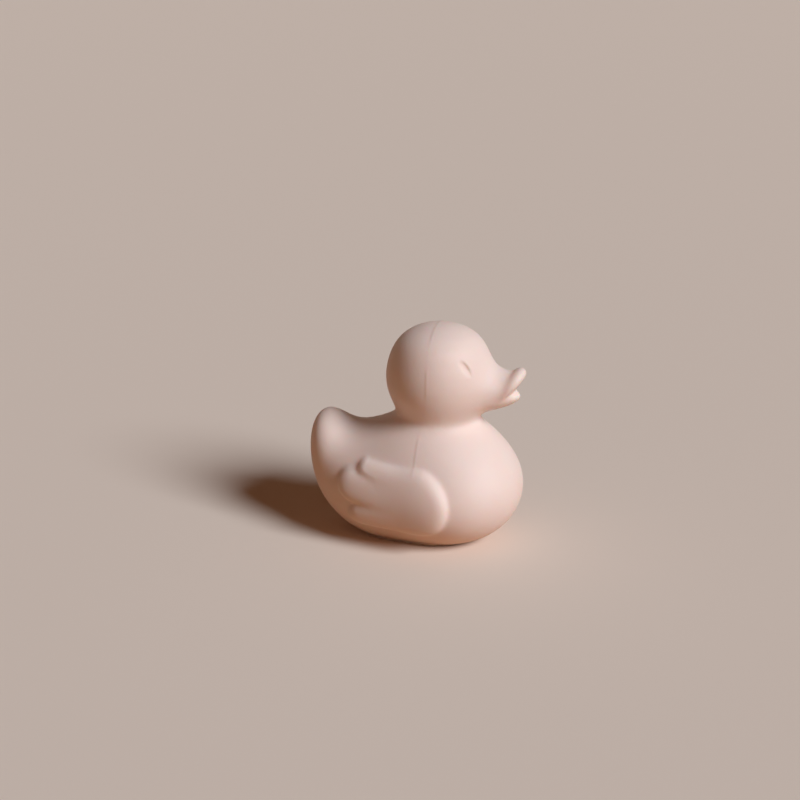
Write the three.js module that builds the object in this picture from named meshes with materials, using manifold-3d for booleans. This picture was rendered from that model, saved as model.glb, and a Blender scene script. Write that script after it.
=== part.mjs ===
// A bath duck, moulded as one closed hollow toy in soft natural rubber.
// Millimetres. The bill points along +X, +Z is up, and Y = 0 is the mirror plane.
// The origin is the middle of the flat spot that the duck stands on.
//
// A modeller would build this duck up in clay: an egg for the belly, one for the rump, one for the
// tail, then shoulders, cheeks and a crown, each smoothed into the last with a thumb. The source
// does the same. Every mass is an egg with its own length, width and height, every thumb stroke is
// a blend with its own width, and the wings and eyes are relief worked into the finished surface.

import * as THREE from "three";
import Module from "manifold-3d";

// Body masses: full length, width and height of each egg
const BELLY_LENGTH = 46.1;
const BELLY_WIDTH = 52;
const BELLY_HEIGHT = 39.3;
const RUMP_LENGTH = 52.7;
const RUMP_WIDTH = 43;
const RUMP_HEIGHT = 42;
const TAIL_LENGTH = 12.3;
const TAIL_WIDTH = 21;
const TAIL_HEIGHT = 22.8;
const SHOULDER_LENGTH = 44.4;
const SHOULDER_WIDTH = 38;
const SHOULDER_HEIGHT = 32.1;

// How far the belly and the rump reach below the floor line before the flat spot is cut
const BELLY_SUNK = 0.8;
const RUMP_SUNK = 2.3;

// Places of the body masses, ahead of the middle of the flat spot or above the belly's middle
const BELLY_AHEAD = 12.8;
const RUMP_AHEAD = -7.9;
const TAIL_AHEAD = -30.9;
const TAIL_RISE = 11.6;
const TAIL_LEAN = 12.5;
const SHOULDER_AHEAD = 5.5;
const SHOULDER_RISE = 10.1;

// Head masses, and their places above the shoulders
const CHEEK_LENGTH = 35.5;
const CHEEK_WIDTH = 35.6;
const CHEEK_HEIGHT = 32.8;
const CHEEK_AHEAD = 6.7;
const CHEEK_RISE = 27;
const CROWN_LENGTH = 25.1;
const CROWN_WIDTH = 27;
const CROWN_HEIGHT = 15.1;
const CROWN_AHEAD = 0.3;
const CROWN_RISE = 9.5;

// Upper bill: a tapered beak with drooping sides
const BEAK_LENGTH = 20.9;
const BEAK_WIDTH = 15.4;
const BEAK_HEIGHT = 8.5;
const BEAK_REACH = 9.9;
const BEAK_DROP = 0.9;
const BEAK_LIFT = 11.9;
const BEAK_DROOP = 0.035;
const BEAK_SWEEP = 0.024;

// Lip of the upper bill: half a hoop that slopes back from the tip and thins away to the mouth's corners
const LIP_AHEAD = 10.5;
const LIP_RISE = 4.6;
const LIP_REACH = 9.2;
const LIP_WIDTH = 12.8;
const LIP_SLOPE = 54.8;
const LIP_THICK = 3.1;
const LIP_FADE = 0.75;

// Lower bill
const JAW_LENGTH = 19.4;
const JAW_WIDTH = 13.2;
const JAW_HEIGHT = 6;
const JAW_AHEAD = 1;
const JAW_DROP = 5.5;
const JAW_LIFT = 13.4;
const JAW_SWEEP = 0.03;
const JAW_CUP = 0.02;

// Widths of the blends between the masses
const RUMP_BLEND = 16.4;
const TAIL_BLEND = 20.3;
const SHOULDER_BLEND = 10.4;
const NECK_BLEND = 9.8;
const CROWN_BLEND = 15.1;
const BEAK_BLEND = 11.9;
const LIP_BLEND = 5.5;
const JAW_BLEND = 3.6;

// Wings, drawn on the side view: a round shoulder and three feathers that end behind it
const WING_PROUD = 2.7;
const WING_EDGE = 6;
const WING_FILLET = 1.6;
const WING_AHEAD = 3.8;
const WING_DROP = 0.2;
const WING_ROUND = 23.8;
const WING_FOOT = 1;
const WING_CLEAR = 11;
const WING_MIDDLE = 3.6;
const WING_FLANK = 10.8;
const FEATHER_ROOT = 15;
const UPPER_FEATHER_REACH = 17.8;
const UPPER_FEATHER_RISE = 9.8;
const UPPER_FEATHER_WIDTH = 6.4;
const MIDDLE_FEATHER_REACH = 22.4;
const MIDDLE_FEATHER_RISE = 3.8;
const MIDDLE_FEATHER_WIDTH = 12;
const LOWER_FEATHER_REACH = 19.6;
const LOWER_FEATHER_DROP = 6.6;
const LOWER_FEATHER_WIDTH = 9.4;
const FEATHER_BLEND = 4;

// Eyes, closed and slanting down to the bill, drawn on the side view
const EYE_AHEAD = 11.3;
const EYE_RISE = 7.8;
const EYE_LENGTH = 7.6;
const EYE_WIDTH = 2.3;
const EYE_DEPTH = 0.6;
const EYE_SLANT = 57;
const EYE_SOFTNESS = 1.5;
const EYE_FLANK = 6;

// Skin: the cells of the first skin, the sag a facet may have, its size, and the facets aimed at
const LATTICE = 1.4;
const FACET_SAG = 0.05;
const FACET_SHORTEST = 0.7;
const FACET_LONGEST = 4;
const FACET_GROWTH = 0.33;
const FACETS_AIMED = 12200;
const SKIN_ROUNDS = 7;

// Where an edge is cut or closed up, against the length wanted there, and how far points even out
const EDGE_LONG = 1.35;
const EDGE_SHORT = 0.78;
const EVENING = 0.6;
const FOLD_LIMIT = 0.3;
const SMALLEST_RING = 5;
const GRADING_PASSES = 8;
const PROBE = 0.02;
const LEAST_SLOPE = 0.05;

// Levels and stations that follow from the sizes
const bellyLevel = BELLY_HEIGHT / 2 - BELLY_SUNK;
const rumpLevel = RUMP_HEIGHT / 2 - RUMP_SUNK;
const tailLevel = bellyLevel + TAIL_RISE;
const shoulderLevel = bellyLevel + SHOULDER_RISE;
const cheekLevel = shoulderLevel + CHEEK_RISE;
const crownAhead = CHEEK_AHEAD + CROWN_AHEAD;
const crownLevel = cheekLevel + CROWN_RISE;
const beakAhead = CHEEK_AHEAD + CHEEK_LENGTH / 2 + BEAK_REACH - BEAK_LENGTH / 2;
const beakLevel = cheekLevel - BEAK_DROP;
const lipAhead = beakAhead + LIP_AHEAD;
const lipLevel = beakLevel + LIP_RISE;
const jawAhead = beakAhead + JAW_AHEAD;
const jawLevel = beakLevel - JAW_DROP;
const wingLevel = bellyLevel - WING_DROP;
const featherRise = WING_ROUND / 2 - FEATHER_ROOT / 2;
const eyeAhead = CHEEK_AHEAD + EYE_AHEAD;
const eyeLevel = cheekLevel + EYE_RISE;

function radius(x, y, z = 0) {
  return Math.sqrt(x * x + y * y + z * z);
}

function turnOf(degrees) {
  const angle = THREE.MathUtils.degToRad(degrees);
  return [Math.cos(angle), Math.sin(angle)];
}

// Distance to an egg: negative inside it. Its front end rises by the lift angle.
function egg(ahead, level, length, width, height, lift = 0) {
  const [cos, sin] = turnOf(lift);
  const [a, b, c] = [length / 2, width / 2, height / 2];
  return (x, y, z) => {
    const dx = x - ahead;
    const dz = z - level;
    const u = (dx * cos + dz * sin) / a;
    const v = y / b;
    const w = (dz * cos - dx * sin) / c;
    const ratio = radius(u, v, w);
    const slope = radius(u / a, v / b, w / c);
    return slope > 0 ? (ratio * (ratio - 1)) / slope : -Math.min(a, b, c);
  };
}

// The same egg with its sides swept back and drooping, as the two halves of a bill are.
function bentEgg(sweep, droop, ahead, level, length, width, height, lift) {
  const straight = egg(ahead, level, length, width, height, lift);
  return (x, y, z) => {
    const side = (y * y) / (1 + (y * y) / (width * width));
    return straight(x + sweep * side, y, z + droop * side);
  };
}

// Distance to an oval hoop that slopes down and back from its tip, thinning away behind the fade.
function hoop(ahead, level, reach, width, slope, thick, fade) {
  const [cos, sin] = turnOf(slope);
  const half = width / 2;
  return (x, y, z) => {
    const dx = ahead - x;
    const dz = level - z;
    const back = dx * cos + dz * sin;
    const off = dx * sin - dz * cos;
    const u = (back - reach) / reach;
    const v = y / half;
    const ratio = radius(u, v);
    const gap = (ratio * (ratio - 1)) / Math.max(radius(u / reach, v / half), 1 / thick / reach);
    const gone = Math.max(back, 0) / (reach * fade);
    return radius(gap, off) - (thick / 2) * (1 - gone * gone);
  };
}

// Union of two masses with a smooth fillet between them.
function blend(a, b, width) {
  const near = Math.max(width - Math.abs(a - b), 0) / width;
  return Math.min(a, b) - (near * near * near * width) / 6;
}

// Distance to a feather drawn flat: a stroke from its root to a round end of another width.
function feather(root, rootWidth, tip, tipWidth) {
  const way = tip.clone().sub(root);
  return (x, z) => {
    const along = ((x - root.x) * way.x + (z - root.y) * way.y) / way.lengthSq();
    const t = THREE.MathUtils.clamp(along, 0, 1);
    const half = THREE.MathUtils.lerp(rootWidth, tipWidth, t) / 2;
    return radius(x - root.x - t * way.x, z - root.y - t * way.y) - half;
  };
}

// Outline of the wing in the side view
const upperFeather = feather(
  new THREE.Vector2(WING_AHEAD, wingLevel + featherRise),
  FEATHER_ROOT,
  new THREE.Vector2(WING_AHEAD - UPPER_FEATHER_REACH, wingLevel + UPPER_FEATHER_RISE),
  UPPER_FEATHER_WIDTH,
);
const middleFeather = feather(
  new THREE.Vector2(WING_AHEAD, wingLevel),
  WING_ROUND - 2 * FEATHER_BLEND,
  new THREE.Vector2(WING_AHEAD - MIDDLE_FEATHER_REACH, wingLevel + MIDDLE_FEATHER_RISE),
  MIDDLE_FEATHER_WIDTH,
);
const lowerFeather = feather(
  new THREE.Vector2(WING_AHEAD, wingLevel - featherRise),
  FEATHER_ROOT,
  new THREE.Vector2(WING_AHEAD - LOWER_FEATHER_REACH, wingLevel - LOWER_FEATHER_DROP),
  LOWER_FEATHER_WIDTH,
);

function wingOutline(x, z) {
  const shoulder = radius(x - WING_AHEAD, z - wingLevel) - WING_ROUND / 2;
  const upper = blend(shoulder, upperFeather(x, z), FEATHER_BLEND);
  return blend(blend(upper, middleFeather(x, z), FEATHER_BLEND), lowerFeather(x, z), FEATHER_BLEND);
}

// The body with its wings: a layer that stands proud inside the outline, rounded over at its edge and
// filleted at its foot. It dies away below, where the belly turns under.
function winged(body, x, y, z) {
  const side = THREE.MathUtils.smoothstep(Math.abs(y), WING_MIDDLE, WING_FLANK);
  const clear = side * THREE.MathUtils.smoothstep(z, WING_FOOT, WING_CLEAR);
  const proud = (WING_PROUD + WING_FILLET) * clear - WING_FILLET;
  const layer = -blend(proud - body, -wingOutline(x, z), WING_EDGE);
  return blend(body, layer, WING_FILLET);
}

// Depth of the eye below the head at a point of the side view.
const [eyeCos, eyeSin] = turnOf(EYE_SLANT);
function eyeRecess(x, y, z) {
  const dx = x - eyeAhead;
  const dz = z - eyeLevel;
  const along = (dx * eyeCos - dz * eyeSin) / (EYE_LENGTH / 2);
  const across = (dx * eyeSin + dz * eyeCos) / (EYE_WIDTH / 2);
  const inside = Math.max(1 - along * along - across * across, 0);
  const side = THREE.MathUtils.smoothstep(Math.abs(y), 0, EYE_FLANK);
  return EYE_DEPTH * Math.pow(inside, EYE_SOFTNESS) * side;
}

// The whole duck as one blended form: negative inside, about the distance in mm near the surface
const belly = egg(BELLY_AHEAD, bellyLevel, BELLY_LENGTH, BELLY_WIDTH, BELLY_HEIGHT);
const rump = egg(RUMP_AHEAD, rumpLevel, RUMP_LENGTH, RUMP_WIDTH, RUMP_HEIGHT);
const tail = egg(TAIL_AHEAD, tailLevel, TAIL_LENGTH, TAIL_WIDTH, TAIL_HEIGHT, TAIL_LEAN);
const shoulders = egg(
  SHOULDER_AHEAD, shoulderLevel, SHOULDER_LENGTH, SHOULDER_WIDTH, SHOULDER_HEIGHT,
);
const cheeks = egg(CHEEK_AHEAD, cheekLevel, CHEEK_LENGTH, CHEEK_WIDTH, CHEEK_HEIGHT);
const crown = egg(crownAhead, crownLevel, CROWN_LENGTH, CROWN_WIDTH, CROWN_HEIGHT);
const beak = bentEgg(
  BEAK_SWEEP, BEAK_DROOP, beakAhead, beakLevel, BEAK_LENGTH, BEAK_WIDTH, BEAK_HEIGHT, BEAK_LIFT,
);
const lip = hoop(lipAhead, lipLevel, LIP_REACH, LIP_WIDTH, LIP_SLOPE, LIP_THICK, LIP_FADE);
const jaw = bentEgg(
  JAW_SWEEP, -JAW_CUP, jawAhead, jawLevel, JAW_LENGTH, JAW_WIDTH, JAW_HEIGHT, JAW_LIFT,
);

function duckForm(x, y, z) {
  const back = blend(blend(belly(x, y, z), rump(x, y, z), RUMP_BLEND), tail(x, y, z), TAIL_BLEND);
  const body = winged(blend(back, shoulders(x, y, z), SHOULDER_BLEND), x, y, z);
  const head = blend(cheeks(x, y, z), crown(x, y, z), CROWN_BLEND) + eyeRecess(x, y, z);
  const upperBill = blend(beak(x, y, z), lip(x, y, z), LIP_BLEND);
  const billed = blend(blend(head, upperBill, BEAK_BLEND), jaw(x, y, z), JAW_BLEND);
  return blend(body, billed, NECK_BLEND);
}

// Slope of the form, for projecting points onto its surface.
function slopeAt(p, out) {
  return out.set(
    duckForm(p.x + PROBE, p.y, p.z) - duckForm(p.x - PROBE, p.y, p.z),
    duckForm(p.x, p.y + PROBE, p.z) - duckForm(p.x, p.y - PROBE, p.z),
    duckForm(p.x, p.y, p.z + PROBE) - duckForm(p.x, p.y, p.z - PROBE),
  ).divideScalar(2 * PROBE);
}

const slope = new THREE.Vector3();
function settle(p, times, farthest) {
  for (let i = 0; i < times; i++) {
    const value = duckForm(p.x, p.y, p.z);
    const steepness = Math.max(slopeAt(p, slope).lengthSq(), LEAST_SLOPE);
    p.addScaledVector(slope, -THREE.MathUtils.clamp(value / steepness, -farthest, farthest));
  }
  return p;
}

// First skin: the form is sampled on a cubic lattice, and each cube is cut into six tetrahedra
// round its diagonal, so the skin is closed whatever the form does between the samples. A cube's
// corners are numbered by their place: 1 is along X, 2 along Y, 4 along Z, and sums are between.
const CORNER_PATHS = [[1, 3], [3, 2], [2, 6], [6, 4], [4, 5], [5, 1]];
const FAR_CORNER = 1 + 2 + 4;

// The same four corners, with the last two swapped where that keeps the skin facing out.
function evenOrder(order) {
  let swaps = 0;
  for (let i = 0; i < order.length; i++) {
    for (let j = i + 1; j < order.length; j++) {
      if (order[i] > order[j]) swaps++;
    }
  }
  return swaps % 2 === 0 ? order : [order[0], order[1], order[3], order[2]];
}

// The facets where one tetrahedron crosses the skin, each a list of crossed edges.
function crossedFacets(tet, value) {
  const inside = [0, 1, 2, 3].filter((c) => value[tet[c]] < 0);
  const outside = [0, 1, 2, 3].filter((c) => value[tet[c]] >= 0);
  if (inside.length === 0 || outside.length === 0) return [];
  if (inside.length === outside.length) {
    const [a, b, c, d] = evenOrder([...inside, ...outside]).map((v) => tet[v]);
    return [
      [[a, c], [a, d], [b, d]],
      [[a, c], [b, d], [b, c]],
    ];
  }
  const lone = inside.length === 1 ? inside : outside;
  const rest = inside.length === 1 ? outside : inside;
  const [a, b, c, d] = evenOrder([...lone, ...rest]).map((v) => tet[v]);
  const facet = [[a, b], [a, c], [a, d]];
  return [inside.length === 1 ? facet : facet.reverse()];
}

function firstSkin(box, cell) {
  const size = box.getSize(new THREE.Vector3());
  const n = [size.x, size.y, size.z].map((s) => Math.ceil(s / cell) + 1);
  const place = (id) => new THREE.Vector3(
    box.min.x + cell * (id % n[0]),
    box.min.y + cell * (Math.floor(id / n[0]) % n[1]),
    box.min.z + cell * Math.floor(id / (n[0] * n[1])),
  );
  const value = new Float64Array(n[0] * n[1] * n[2]);
  for (let id = 0; id < value.length; id++) {
    const p = place(id);
    value[id] = duckForm(p.x, p.y, p.z);
  }
  const points = [];
  const faces = [];
  const crossings = new Map();
  const crossing = ([a, b]) => {
    const key = Math.min(a, b) * value.length + Math.max(a, b);
    if (!crossings.has(key)) {
      const t = value[a] / (value[a] - value[b]);
      crossings.set(key, points.push(place(a).lerp(place(b), t)) - 1);
    }
    return crossings.get(key);
  };
  const steps = [1, n[0], n[0] * n[1]];
  const corner = (id, bits) => steps.reduce((sum, step, i) => sum + (bits & (1 << i) ? step : 0), id);
  for (let id = 0; id < value.length - corner(0, FAR_CORNER); id++) {
    if (id % n[0] === n[0] - 1 || Math.floor(id / n[0]) % n[1] === n[1] - 1) continue;
    for (const [first, second] of CORNER_PATHS) {
      const tet = [0, first, second, FAR_CORNER].map((bits) => corner(id, bits));
      for (const facet of crossedFacets(tet, value)) faces.push(facet.map(crossing));
    }
  }
  return { points, faces };
}

// Facet length that keeps the sag at a point within bounds, from how fast the slope turns there.
function facetLength(p) {
  const out = slopeAt(p, new THREE.Vector3()).normalize();
  const first = new THREE.Vector3(-out.z, 0, out.x);
  if (first.lengthSq() < LEAST_SLOPE) first.set(1, 0, 0);
  first.projectOnPlane(out).normalize();
  const second = first.clone().cross(out);
  const between = first.clone().add(second).normalize();
  const across = first.clone().sub(second).normalize();
  const slopeFrom = (way, by) => {
    const near = p.clone().addScaledVector(way, by);
    return slopeAt(near, new THREE.Vector3()).normalize();
  };
  let bend = (8 * FACET_SAG) / (FACET_LONGEST * FACET_LONGEST);
  for (const way of [first, second, between, across]) {
    const turn = slopeFrom(way, FACET_SHORTEST / 2).sub(slopeFrom(way, -FACET_SHORTEST / 2));
    bend = Math.max(bend, turn.length() / FACET_SHORTEST);
  }
  return Math.max(Math.sqrt((8 * FACET_SAG) / bend), FACET_SHORTEST);
}

// The skin as it is worked: points, triangles, and the triangles round each point.
class Skin {
  constructor({ points, faces }) {
    this.points = points;
    this.faces = faces;
    this.round = points.map(() => new Set());
    faces.forEach((face, f) => face.forEach((v) => this.round[v].add(f)));
    this.reach = points.map((p) => facetLength(settle(p, 2, LATTICE)));
    this.grade();
  }

  live() {
    return this.faces.filter((face) => face);
  }

  neighbours(v) {
    const near = new Set();
    for (const f of this.round[v]) {
      for (const w of this.faces[f]) near.add(w);
    }
    near.delete(v);
    return near;
  }

  edges() {
    const list = [];
    for (const [a, b, c] of this.live()) {
      if (a < b) list.push([a, b]);
      if (b < c) list.push([b, c]);
      if (c < a) list.push([c, a]);
    }
    return list;
  }

  sides(a, b) {
    return [...this.round[a]].filter((f) => this.round[b].has(f));
  }

  length(a, b) {
    return this.points[a].distanceTo(this.points[b]);
  }

  wanted(a, b) {
    return (this.reach[a] + this.reach[b]) / 2;
  }

  corners(face) {
    return new THREE.Triangle(...face.map((v) => this.points[v]));
  }

  normal(face) {
    return this.corners(face).getNormal(new THREE.Vector3());
  }

  // Facets grow gradually from fine places to plain ones, and their number is kept down.
  grade() {
    const edges = this.edges();
    for (let pass = 0; pass < GRADING_PASSES; pass++) {
      for (const [a, b] of edges) {
        const more = this.length(a, b) * FACET_GROWTH;
        this.reach[a] = Math.min(this.reach[a], this.reach[b] + more);
        this.reach[b] = Math.min(this.reach[b], this.reach[a] + more);
      }
    }
    let expected = 0;
    for (const face of this.live()) {
      const length = face.reduce((sum, v) => sum + this.reach[v], 0) / face.length;
      expected += this.corners(face).getArea() / (length * length * Math.sin(Math.PI / 3) / 2);
    }
    const factor = Math.sqrt(expected / FACETS_AIMED);
    this.reach = this.reach.map((length) => length * factor);
  }

  set(f, face) {
    if (this.faces[f]) this.faces[f].forEach((v) => this.round[v].delete(f));
    this.faces[f] = face;
    if (face) face.forEach((v) => this.round[v].add(f));
  }

  split(a, b) {
    const middle = this.points.push(this.points[a].clone().lerp(this.points[b], 0.5)) - 1;
    this.round.push(new Set());
    this.reach.push(this.wanted(a, b));
    for (const f of this.sides(a, b)) {
      const face = this.faces[f];
      this.set(f, face.map((v) => (v === a ? middle : v)));
      this.set(this.faces.length, face.map((v) => (v === b ? middle : v)));
    }
  }

  // Whether point v can move there without a long edge or a facet that folds over.
  mayMove(v, other, place, longest) {
    for (const w of this.neighbours(v)) {
      if (w !== other && this.points[w].distanceTo(place) > longest) return false;
    }
    for (const f of this.round[v]) {
      if (this.round[other].has(f)) continue;
      const moved = new THREE.Triangle(...this.faces[f].map((w) => (w === v ? place : this.points[w])));
      if (moved.getNormal(new THREE.Vector3()).dot(this.normal(this.faces[f])) < FOLD_LIMIT) return false;
    }
    return true;
  }

  collapse(a, b) {
    const sides = this.sides(a, b);
    const near = this.neighbours(b);
    const shared = [...this.neighbours(a)].filter((v) => near.has(v));
    if (sides.length !== 2 || shared.length !== 2) return;
    if (shared.some((v) => this.round[v].size < SMALLEST_RING)) return;
    const place = this.points[a].clone().lerp(this.points[b], 0.5);
    const longest = EDGE_LONG * this.wanted(a, b);
    if (!this.mayMove(a, b, place, longest) || !this.mayMove(b, a, place, longest)) return;
    sides.forEach((f) => this.set(f, null));
    for (const f of [...this.round[b]]) this.set(f, this.faces[f].map((v) => (v === b ? a : v)));
    this.points[a].copy(place);
  }

  // The angle at p between the ways to q and r.
  angle(p, q, r) {
    const toFirst = this.points[q].clone().sub(this.points[p]);
    return toFirst.angleTo(this.points[r].clone().sub(this.points[p]));
  }

  // Turns an edge the other way in its four-sided patch when that evens out the corner angles.
  flip(a, b) {
    const sides = this.sides(a, b);
    if (sides.length !== 2) return;
    const [c, d] = sides.map((f) => this.faces[f].find((v) => v !== a && v !== b));
    if (c === d || this.neighbours(c).has(d)) return;
    if (this.round[a].size < SMALLEST_RING || this.round[b].size < SMALLEST_RING) return;
    if (this.angle(c, a, b) + this.angle(d, a, b) <= Math.PI) return;
    const turned = this.faces[sides[0]].map((v) => (v === b ? d : v));
    const other = this.faces[sides[1]].map((v) => (v === a ? c : v));
    if (this.normal(turned).dot(this.normal(other)) < FOLD_LIMIT) return;
    if (this.normal(turned).dot(this.normal(this.faces[sides[0]])) < FOLD_LIMIT) return;
    this.set(sides[0], turned);
    this.set(sides[1], other);
  }

  // A point moved towards the middle of its neighbours, along the surface.
  evened(p, v) {
    const middle = new THREE.Vector3();
    let weight = 0;
    for (const w of this.neighbours(v)) {
      middle.addScaledVector(this.points[w], 1 / this.reach[w]);
      weight += 1 / this.reach[w];
    }
    const way = middle.divideScalar(weight).sub(p);
    way.projectOnPlane(slopeAt(p, new THREE.Vector3()).normalize());
    return settle(p.clone().addScaledVector(way, EVENING), 2, this.reach[v] / 2);
  }

  work() {
    for (const [a, b] of this.edges()) {
      if (this.length(a, b) > EDGE_LONG * this.wanted(a, b)) this.split(a, b);
    }
    for (const [a, b] of this.edges()) {
      const stillThere = this.sides(a, b).length === 2;
      if (stillThere && this.length(a, b) < EDGE_SHORT * this.wanted(a, b)) this.collapse(a, b);
    }
    for (const [a, b] of this.edges()) this.flip(a, b);
    this.points = this.points.map((p, v) => (this.round[v].size > 0 ? this.evened(p, v) : p));
  }
}

// A net of points and triangles as a solid that can be joined and cut.
const wasm = await Module();
wasm.setup();

function solidOf(positions, indices) {
  const mesh = new wasm.Mesh({
    numProp: 3,
    vertProperties: Float32Array.from(positions),
    triVerts: Uint32Array.from(indices),
  });
  return new wasm.Manifold(mesh);
}

// Room round the duck that the lattice has to cover, with the mirror plane midway between cells
const margin = 2 * LATTICE;
const widest = Math.max(BELLY_WIDTH, RUMP_WIDTH, SHOULDER_WIDTH, CHEEK_WIDTH);
const reachAhead = Math.max(lipAhead + LIP_THICK, BELLY_AHEAD + BELLY_LENGTH / 2);
const reachBack = Math.max(RUMP_LENGTH / 2 - RUMP_AHEAD, TAIL_LENGTH - TAIL_AHEAD) + RUMP_SUNK;
const reachSide = widest / 2 + WING_PROUD;
const reachUp = Math.max(crownLevel + CROWN_HEIGHT / 2, cheekLevel + CHEEK_HEIGHT / 2);
const reachDown = Math.max(BELLY_SUNK, RUMP_SUNK) + margin;
const sideCells = Math.ceil((reachSide + margin) / LATTICE) + 0.5;
const room = new THREE.Box3(
  new THREE.Vector3(-reachBack - margin, -sideCells * LATTICE, -reachDown - margin),
  new THREE.Vector3(reachAhead + margin, sideCells * LATTICE, reachUp + 2 * margin),
);

const skin = new Skin(firstSkin(room, LATTICE));
for (let i = 0; i < SKIN_ROUNDS; i++) skin.work();

// Packs the points still in use, and hands the skin over as a solid
const number = new Map();
const positions = [];
const indices = [];
for (const v of skin.live().flat()) {
  if (!number.has(v)) {
    number.set(v, number.size);
    positions.push(...settle(skin.points[v], 2, LATTICE / 4).toArray());
  }
  indices.push(number.get(v));
}
const moulding = solidOf(positions, indices);

// The flat spot: everything below the floor line is cut away
const block = new THREE.BoxGeometry(4 * reachBack, 4 * reachSide, 2 * reachDown);
block.translate(0, 0, -reachDown);
const blockPoints = [];
const blockFaces = [];
const blockCorners = new Map();
const loose = block.toNonIndexed().getAttribute("position");
for (let i = 0; i < loose.count; i++) {
  const place = [loose.getX(i), loose.getY(i), loose.getZ(i)];
  const key = place.join(" ");
  if (!blockCorners.has(key)) {
    blockCorners.set(key, blockCorners.size);
    blockPoints.push(...place);
  }
  blockFaces.push(blockCorners.get(key));
}
const standing = moulding.subtract(solidOf(blockPoints, blockFaces)).getMesh();

const geometry = new THREE.BufferGeometry();
geometry.setAttribute("position", new THREE.BufferAttribute(standing.vertProperties, 3));
geometry.setIndex(new THREE.BufferAttribute(standing.triVerts, 1));
geometry.computeVertexNormals();

// Pale blush natural rubber, matte from the mould
const rubber = new THREE.MeshStandardMaterial({ color: 0xe8cbbc, roughness: 0.72, metalness: 0 });
const duck = new THREE.Mesh(geometry, rubber);
duck.name = "duck";

const group = new THREE.Group();
group.add(duck);
export default group;
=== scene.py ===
# %% [markdown]
# # A moulded natural-rubber bath duck
#
# The real duck is a hollow toy, cast in one piece in a two-part mould. It is a warm, pale blush all
# over, with nothing painted on it. What it looks like comes from four things:
#
# - one soft skin that runs from tail to bill without a single hard edge,
# - wings and eyes that are only relief in that skin,
# - a faint raised line where the two halves of the mould met,
# - matte rubber that lets a little light in, so its shadows turn warm.
#
# The steps below go in that order. Sizes are in metres.

# %% The frame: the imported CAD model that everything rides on
import math

import bpy
import numpy as np
from mathutils import Matrix, Vector


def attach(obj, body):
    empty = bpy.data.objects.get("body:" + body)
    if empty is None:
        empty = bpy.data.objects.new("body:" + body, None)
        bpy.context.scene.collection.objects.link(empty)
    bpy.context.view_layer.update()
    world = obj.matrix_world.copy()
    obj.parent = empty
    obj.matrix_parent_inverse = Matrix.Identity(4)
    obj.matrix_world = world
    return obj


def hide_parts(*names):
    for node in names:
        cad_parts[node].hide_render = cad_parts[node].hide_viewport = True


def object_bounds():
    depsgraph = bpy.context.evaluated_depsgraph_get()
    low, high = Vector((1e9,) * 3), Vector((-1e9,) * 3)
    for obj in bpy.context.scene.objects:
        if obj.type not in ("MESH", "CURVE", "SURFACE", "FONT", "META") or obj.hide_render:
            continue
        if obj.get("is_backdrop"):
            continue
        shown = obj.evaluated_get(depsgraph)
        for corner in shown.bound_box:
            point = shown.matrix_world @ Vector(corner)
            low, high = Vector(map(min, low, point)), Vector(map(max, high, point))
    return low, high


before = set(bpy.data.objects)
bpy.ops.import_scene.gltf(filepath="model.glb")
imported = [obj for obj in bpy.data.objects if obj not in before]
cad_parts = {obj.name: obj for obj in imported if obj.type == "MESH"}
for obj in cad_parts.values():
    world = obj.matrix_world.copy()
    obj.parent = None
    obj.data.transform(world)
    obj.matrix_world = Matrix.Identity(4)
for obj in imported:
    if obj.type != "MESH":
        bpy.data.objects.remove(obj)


def plain(box):
    """The two corners of a box as plain lists."""
    return [[round(float(value), 5) for value in corner] for corner in box]


sizes = {"frame": plain(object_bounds())}
low, high = sizes["frame"]
print("The duck is", [round(1000 * (b - a), 1) for a, b in zip(low, high)], "mm")

# %% [markdown]
# ## The camera
#
# The photograph is taken from the duck's right side, a little ahead of it and about eighteen degrees
# above it. The outline of the duck gave the angle, the distance and the lens: the head is nearer the
# lens than the tail and looks about five percent larger, which only fits a camera half a metre away.

# %% The camera at the photograph's viewing angle
AZIMUTH = math.radians(14)
ELEVATION = math.radians(18)
DISTANCE = 0.505
TARGET = Vector((-0.009825, 0.011323, 0.043306))
LENS_LENGTH = 64.93
SENSOR_WIDTH = 36

right = Vector((math.cos(AZIMUTH), math.sin(AZIMUTH), 0))
level = Vector((-math.sin(AZIMUTH), math.cos(AZIMUTH), 0))
ahead = math.cos(ELEVATION) * level - math.sin(ELEVATION) * Vector((0, 0, 1))
lens = bpy.data.cameras.new("camera")
lens.lens = LENS_LENGTH
lens.sensor_width = SENSOR_WIDTH
camera = bpy.data.objects.new("camera", lens)
turn = Matrix((right, right.cross(ahead), -ahead)).transposed()
camera.matrix_world = Matrix.Translation(TARGET - DISTANCE * ahead) @ turn.to_4x4()
bpy.context.scene.collection.objects.link(camera)
bpy.context.scene.camera = camera
print("The camera stands", [round(v, 3) for v in camera.matrix_world.translation])

# %% [markdown]
# ## The skin
#
# The CAD model is a solid of flat facets, fine enough to measure and to collide, but its facets
# would show in a close view. A real duck has a skin as smooth as the mould that it was cast in. So
# each facet is cut in four, twice. A new corner goes between the four old ones round its edge, and
# each old corner gives way a little to its neighbours, which is the usual way to smooth a net of
# triangles. On its own that shrinks the form, so the net is first pushed out by what the rule takes
# away. The finished skin stays within a tenth of a millimetre of the CAD model, apart from the lowest
# 1.2 mm. The flat spot's facets are large and uneven, and the skin flares by up to 1.1 mm round it.

# %% Cutting each facet of a net in four, and rounding the form on the way


def edges_of(faces):
    """The edges of a closed net of triangles, the edge on each side of a face, and the far corners."""
    sides = faces[:, [[0, 1], [1, 2], [2, 0]]].reshape(-1, 2)
    edges, number = np.unique(np.sort(sides, axis=1), axis=0, return_inverse=True)
    number = number.reshape(-1)
    order = np.argsort(number, kind="stable")
    far = faces[:, [2, 0, 1]].reshape(-1)[order].reshape(-1, 2)
    return edges, number.reshape(-1, 3), far


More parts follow.
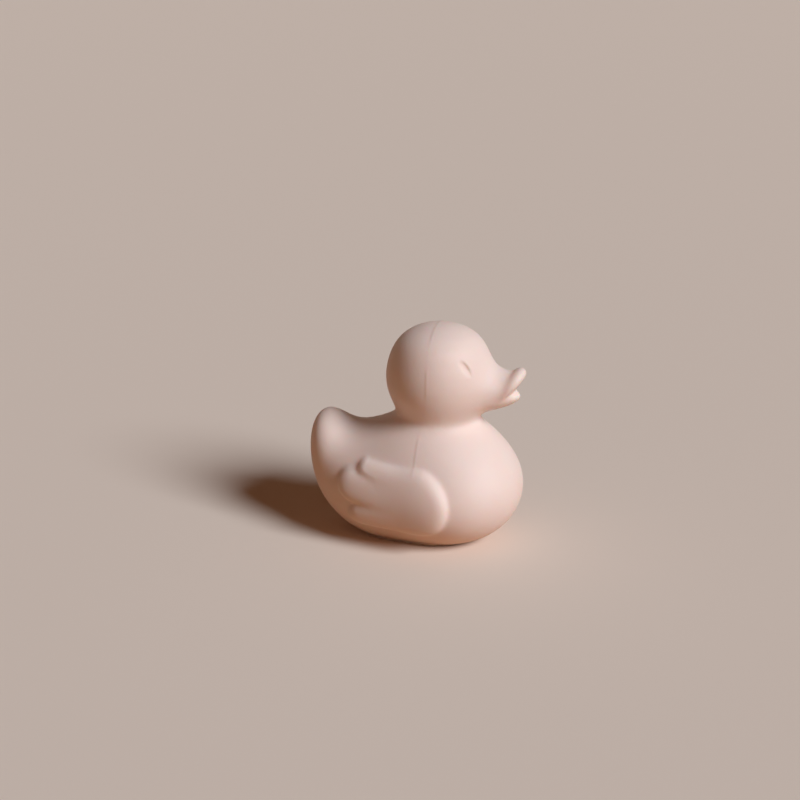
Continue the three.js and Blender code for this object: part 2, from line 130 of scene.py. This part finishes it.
def cut_in_four(net, faces):
    """The finer net: the old corners first, then one new corner for each edge."""
    edges, number, far = edges_of(faces)
    neighbours = np.bincount(edges.reshape(-1), minlength=len(net))
    share = (5 / 8 - (3 / 8 + np.cos(2 * np.pi / neighbours) / 4) ** 2) / neighbours
    around = np.zeros_like(net)
    np.add.at(around, edges[:, 0], net[edges[:, 1]])
    np.add.at(around, edges[:, 1], net[edges[:, 0]])
    old = net * (1 - share * neighbours)[:, None] + around * share[:, None]
    new = 3 / 8 * net[edges].sum(axis=1) + 1 / 8 * net[far].sum(axis=1)
    a, b, c = faces.T
    ab, bc, ca = (number + len(net)).T
    fours = np.stack([[a, ab, ca], [b, bc, ab], [c, ca, bc], [ab, bc, ca]])
    return np.concatenate([old, new]), fours.transpose(0, 2, 1).reshape(-1, 3)


def smooth_skin(corners, faces, times, corrections=3):
    """The net cut finer a number of times, close to the corners that it started from."""
    net = corners.copy()
    for _ in range(corrections):
        net += corners - cut_in_four(net, faces)[0][: len(corners)]
    for _ in range(times):
        net, faces = cut_in_four(net, faces)
    return net, faces


# %% The skin of the duck
SAME_PLACE_DIGITS = 7
CUTS = 2

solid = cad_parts["duck"]
placed = np.array([vertex.co for vertex in solid.data.vertices])
facets = np.array([polygon.vertices for polygon in solid.data.polygons])
_places, first, same = np.unique(
    np.round(placed, SAME_PLACE_DIGITS), axis=0, return_index=True, return_inverse=True
)
skin, faces = smooth_skin(placed[first], same.reshape(-1)[facets], CUTS)
skin[:, 2] = np.maximum(skin[:, 2], 0)
print("The skin has", len(faces), "facets, from", len(facets), "in the CAD model")

# %% [markdown]
# ## The moulding
#
# The skin becomes one piece, which stands for the CAD solid and rides on the same body.

# %% The duck as one smooth piece
mesh = bpy.data.meshes.new("moulding")
mesh.from_pydata(skin.tolist(), [], faces.tolist())
mesh.shade_smooth()
duck = bpy.data.objects.new("moulded_duck", mesh)
bpy.context.scene.collection.objects.link(duck)
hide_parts("duck")
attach(duck, "root")
print("The moulding has", len(mesh.polygons), "triangles")

# %% [markdown]
# ## Natural rubber
#
# Latex with a little pigment is a pale, slightly pink beige. It is matte, because the mould leaves a
# very fine grain on it, and light goes one to four millimetres into it before it comes out again,
# which softens and warms the shadows.
#
# The parting line of the mould runs over the head and down the neck and the body: the front half
# stands less than a tenth of a millimetre proud there, with a fine thread of rubber along the joint.
# The trimming took most of it away, so it is clear in a few stretches and faint in between. It is
# far lower than a facet is long, so it is worked as relief in the finish, about as wide as it looks
# in the photograph.

# %% Helpers for colours and nodes


def linear(code):
    """A colour written as an sRGB hex code, in linear light."""
    values = [int(code[i : i + 2], 16) / 255 for i in (1, 3, 5)]
    return [v / 12.92 if v < 0.04045 else ((v + 0.055) / 1.055) ** 2.4 for v in values] + [1]


def add_node(tree, kind, inputs=None, **settings):
    """A node with its settings, and its sockets given a value or linked to another socket."""
    node = tree.nodes.new(kind)
    for name, value in settings.items():
        setattr(node, name, value)
    for name, value in (inputs or {}).items():
        if isinstance(value, bpy.types.NodeSocket):
            tree.links.new(value, node.inputs[name])
        else:
            node.inputs[name].default_value = value
    return node


def new_material(name):
    """An empty material and its tree."""
    material = bpy.data.materials.new(name)
    material.use_nodes = True
    material.node_tree.nodes.clear()
    return material, material.node_tree


# %% The parting line, as relief in metres
SEAM_BELLY = 0.0032
SEAM_HEAD = 0.0063
SEAM_LOW = 0.038
SEAM_HIGH = 0.056
SEAM_HALF_WIDTH = 0.0009
SEAM_STEP = 0.00007
SEAM_THREAD = 0.00005
SEAM_FROM = 0.027
SEAM_TO = 0.085
SEAM_STRETCHES = ((0.031, 0.038), (0.056, 0.062), (0.073, 0.080))
SEAM_FADE = 0.003
SEAM_FAINT = 0.15

rubber, tree = new_material("matte_natural_rubber")
place = add_node(tree, "ShaderNodeTexCoord").outputs["Object"]
apart = add_node(tree, "ShaderNodeSeparateXYZ", {"Vector": place})
seam_at = add_node(tree, "ShaderNodeMapRange", {
    "Value": apart.outputs["Z"],
    "From Min": SEAM_LOW,
    "From Max": SEAM_HIGH,
    "To Min": SEAM_BELLY,
    "To Max": SEAM_HEAD,
}, interpolation_type="SMOOTHSTEP")
past_seam = add_node(tree, "ShaderNodeMath", {
    0: apart.outputs["X"],
    1: seam_at.outputs["Result"],
}, operation="SUBTRACT")
off_seam = add_node(tree, "ShaderNodeMath", {
    0: past_seam.outputs["Value"],
}, operation="ABSOLUTE")
step = add_node(tree, "ShaderNodeMapRange", {
    "Value": past_seam.outputs["Value"],
    "From Min": -SEAM_HALF_WIDTH,
    "From Max": SEAM_HALF_WIDTH,
    "To Min": 0,
    "To Max": SEAM_STEP,
}, interpolation_type="SMOOTHSTEP")
thread = add_node(tree, "ShaderNodeMapRange", {
    "Value": off_seam.outputs["Value"],
    "From Min": 0,
    "From Max": SEAM_HALF_WIDTH,
    "To Min": SEAM_THREAD,
    "To Max": 0,
}, interpolation_type="SMOOTHSTEP")
joint = add_node(tree, "ShaderNodeMath", {
    0: step.outputs["Result"],
    1: thread.outputs["Result"],
}, operation="ADD")
height = add_node(tree, "ShaderNodeMapRange", {
    "Value": apart.outputs["Z"],
    "From Min": SEAM_FROM,
    "From Max": SEAM_TO,
})
clearness = add_node(tree, "ShaderNodeValToRGB", {"Fac": height.outputs["Result"]})
clearness.color_ramp.interpolation = "EASE"
clearness.color_ramp.elements[0].color = (0, 0, 0, 1)
clearness.color_ramp.elements[1].color = (SEAM_FAINT, SEAM_FAINT, SEAM_FAINT, 1)
for start, end in SEAM_STRETCHES:
    stops = ((start - SEAM_FADE, SEAM_FAINT), (start, 1), (end, 1), (end + SEAM_FADE, SEAM_FAINT))
    for level_at, shown in stops:
        stop = clearness.color_ramp.elements.new((level_at - SEAM_FROM) / (SEAM_TO - SEAM_FROM))
        stop.color = (shown, shown, shown, 1)
parting = add_node(tree, "ShaderNodeMath", {
    0: joint.outputs["Value"],
    1: clearness.outputs["Color"],
}, operation="MULTIPLY")
print("The parting line is", 2000 * SEAM_HALF_WIDTH, "mm wide")

# %% The grain of the mould, the mottling of the latex, and the rubber itself
GRAIN = 0.0006
GRAIN_DEPTH = 0.00002
MOTTLE = 0.015
RUBBER_DARKER = "#EFDAD0"
RUBBER_LIGHTER = "#F6E5DD"
RUBBER_ROUGHNESS = 0.6
RUBBER_IOR = 1.52
LIGHT_LET_IN = 0.4
LIGHT_DEPTH = 0.004
DEPTH_OF_RED_GREEN_BLUE = (1, 0.42, 0.25)

grain = add_node(tree, "ShaderNodeTexNoise", {
    "Vector": place,
    "Scale": 1 / GRAIN,
    "Detail": 3,
})
mottle = add_node(tree, "ShaderNodeTexNoise", {
    "Vector": place,
    "Scale": 1 / MOTTLE,
    "Detail": 4,
})
seam_relief = add_node(tree, "ShaderNodeBump", {
    "Height": parting.outputs["Value"],
    "Distance": 1,
})
relief = add_node(tree, "ShaderNodeBump", {
    "Height": grain.outputs["Fac"],
    "Distance": GRAIN_DEPTH,
    "Normal": seam_relief.outputs["Normal"],
})
colour = add_node(tree, "ShaderNodeMix", {
    0: mottle.outputs["Fac"],
    6: linear(RUBBER_DARKER),
    7: linear(RUBBER_LIGHTER),
}, data_type="RGBA")
surface = add_node(tree, "ShaderNodeBsdfPrincipled", {
    "Base Color": colour.outputs[2],
    "Roughness": RUBBER_ROUGHNESS,
    "IOR": RUBBER_IOR,
    "Subsurface Weight": LIGHT_LET_IN,
    "Subsurface Radius": DEPTH_OF_RED_GREEN_BLUE,
    "Subsurface Scale": LIGHT_DEPTH,
    "Normal": relief.outputs["Normal"],
})
add_node(tree, "ShaderNodeOutputMaterial", {"Surface": surface.outputs["BSDF"]})
mesh.materials.append(rubber)
print("The rubber's grain is", 1000 * GRAIN, "mm across")

# %% [markdown]
# ## The floor and the light
#
# The duck stands on a plain pale floor in front of a plain pale backdrop. One broad soft lamp shines
# from the right, from above and from the camera's side, and models the form much as the light of the
# photograph does. It spreads as widely as a softbox close by, so the duck's shadow on the floor has a
# soft edge. The shadow side of the duck is filled with warm light. So the floor and the backdrop are
# pale where they are seen, while in the light that they give the floor is brown and the room a dim
# orange.

# %% What the camera sees, apart from what lights the duck


def looked_at(tree):
    """One where a surface is seen, straight or in a reflection, and none where it only gives light."""
    ray = add_node(tree, "ShaderNodeLightPath")
    seen = ray.outputs["Is Camera Ray"]
    for way in ("Is Glossy Ray", "Is Transmission Ray"):
        either = add_node(tree, "ShaderNodeMath", {0: seen, 1: ray.outputs[way]}, operation="MAXIMUM")
        seen = either.outputs["Value"]
    return seen


# %% The floor
FLOOR_SIZE = 12
FLOOR_AS_LIGHT = "#D0A078"
FLOOR_AS_SEEN = "#F4E8DB"
FLOOR_ROUGHNESS = 0.9
FLOOR_SHEEN = 0.2

floor_mesh = bpy.data.meshes.new("floor")
half = FLOOR_SIZE / 2
floor_mesh.from_pydata(
    [(-half, -half, 0), (half, -half, 0), (half, half, 0), (-half, half, 0)], [], [(0, 1, 2, 3)]
)
floor = bpy.data.objects.new("floor", floor_mesh)
bpy.context.scene.collection.objects.link(floor)
floor_finish, tree = new_material("pale_matte_floor")
floor_colour = add_node(tree, "ShaderNodeMix", {
    0: looked_at(tree),
    6: linear(FLOOR_AS_LIGHT),
    7: linear(FLOOR_AS_SEEN),
}, data_type="RGBA")
surface = add_node(tree, "ShaderNodeBsdfPrincipled", {
    "Base Color": floor_colour.outputs[2],
    "Roughness": FLOOR_ROUGHNESS,
    "Specular IOR Level": FLOOR_SHEEN,
})
add_node(tree, "ShaderNodeOutputMaterial", {"Surface": surface.outputs["BSDF"]})
floor_mesh.materials.append(floor_finish)
floor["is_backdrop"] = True
print("The floor is", FLOOR_SIZE, "m square")

# %% The lamp and the surroundings
LAMP_TOWARDS_CAMERA = math.radians(39)
LAMP_ELEVATION = math.radians(34)
LAMP_STRENGTH = 2.85
LAMP_SPREAD = math.radians(24)
LAMP_COLOUR = "#F6F9FF"
FILL_COLOUR = "#FFA870"
FILL_STRENGTH = 0.08
BACKDROP_COLOUR = "#D9CCBF"

round_duck = math.cos(LAMP_TOWARDS_CAMERA) * right - math.sin(LAMP_TOWARDS_CAMERA) * level
from_lamp = -(math.cos(LAMP_ELEVATION) * round_duck + math.sin(LAMP_ELEVATION) * Vector((0, 0, 1)))
softbox = bpy.data.lights.new("softbox", "SUN")
softbox.energy = LAMP_STRENGTH
softbox.angle = LAMP_SPREAD
softbox.color = linear(LAMP_COLOUR)[:3]
lamp = bpy.data.objects.new("softbox", softbox)
lamp.rotation_euler = from_lamp.to_track_quat("-Z", "Y").to_euler()
bpy.context.scene.collection.objects.link(lamp)

world = bpy.data.worlds.new("room")
bpy.context.scene.world = world
world.use_nodes = True
tree = world.node_tree
tree.nodes.clear()
fill = add_node(tree, "ShaderNodeBackground", {
    "Color": linear(FILL_COLOUR),
    "Strength": FILL_STRENGTH,
})
backdrop = add_node(tree, "ShaderNodeBackground", {
    "Color": linear(BACKDROP_COLOUR),
    "Strength": 1,
})
room = add_node(tree, "ShaderNodeMixShader", {
    0: looked_at(tree),
    1: fill.outputs["Background"],
    2: backdrop.outputs["Background"],
})
add_node(tree, "ShaderNodeOutputWorld", {"Surface": room.outputs["Shader"]})
bpy.context.scene.view_settings.view_transform = "Standard"
print("The lamp gives", softbox.energy, "W/m2")

# %% [markdown]
# ## Sizes, and the end
#
# The box of the finished model is kept in sizes beside that of the CAD model, to show that the looks
# haven't changed the overall size. A box can't show a change of form inside it.

# %% Sizes of the CAD model and of the finished one
bpy.context.view_layer.update()
sizes["visual"] = plain(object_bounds())
print("The finished duck spans", sizes["visual"])
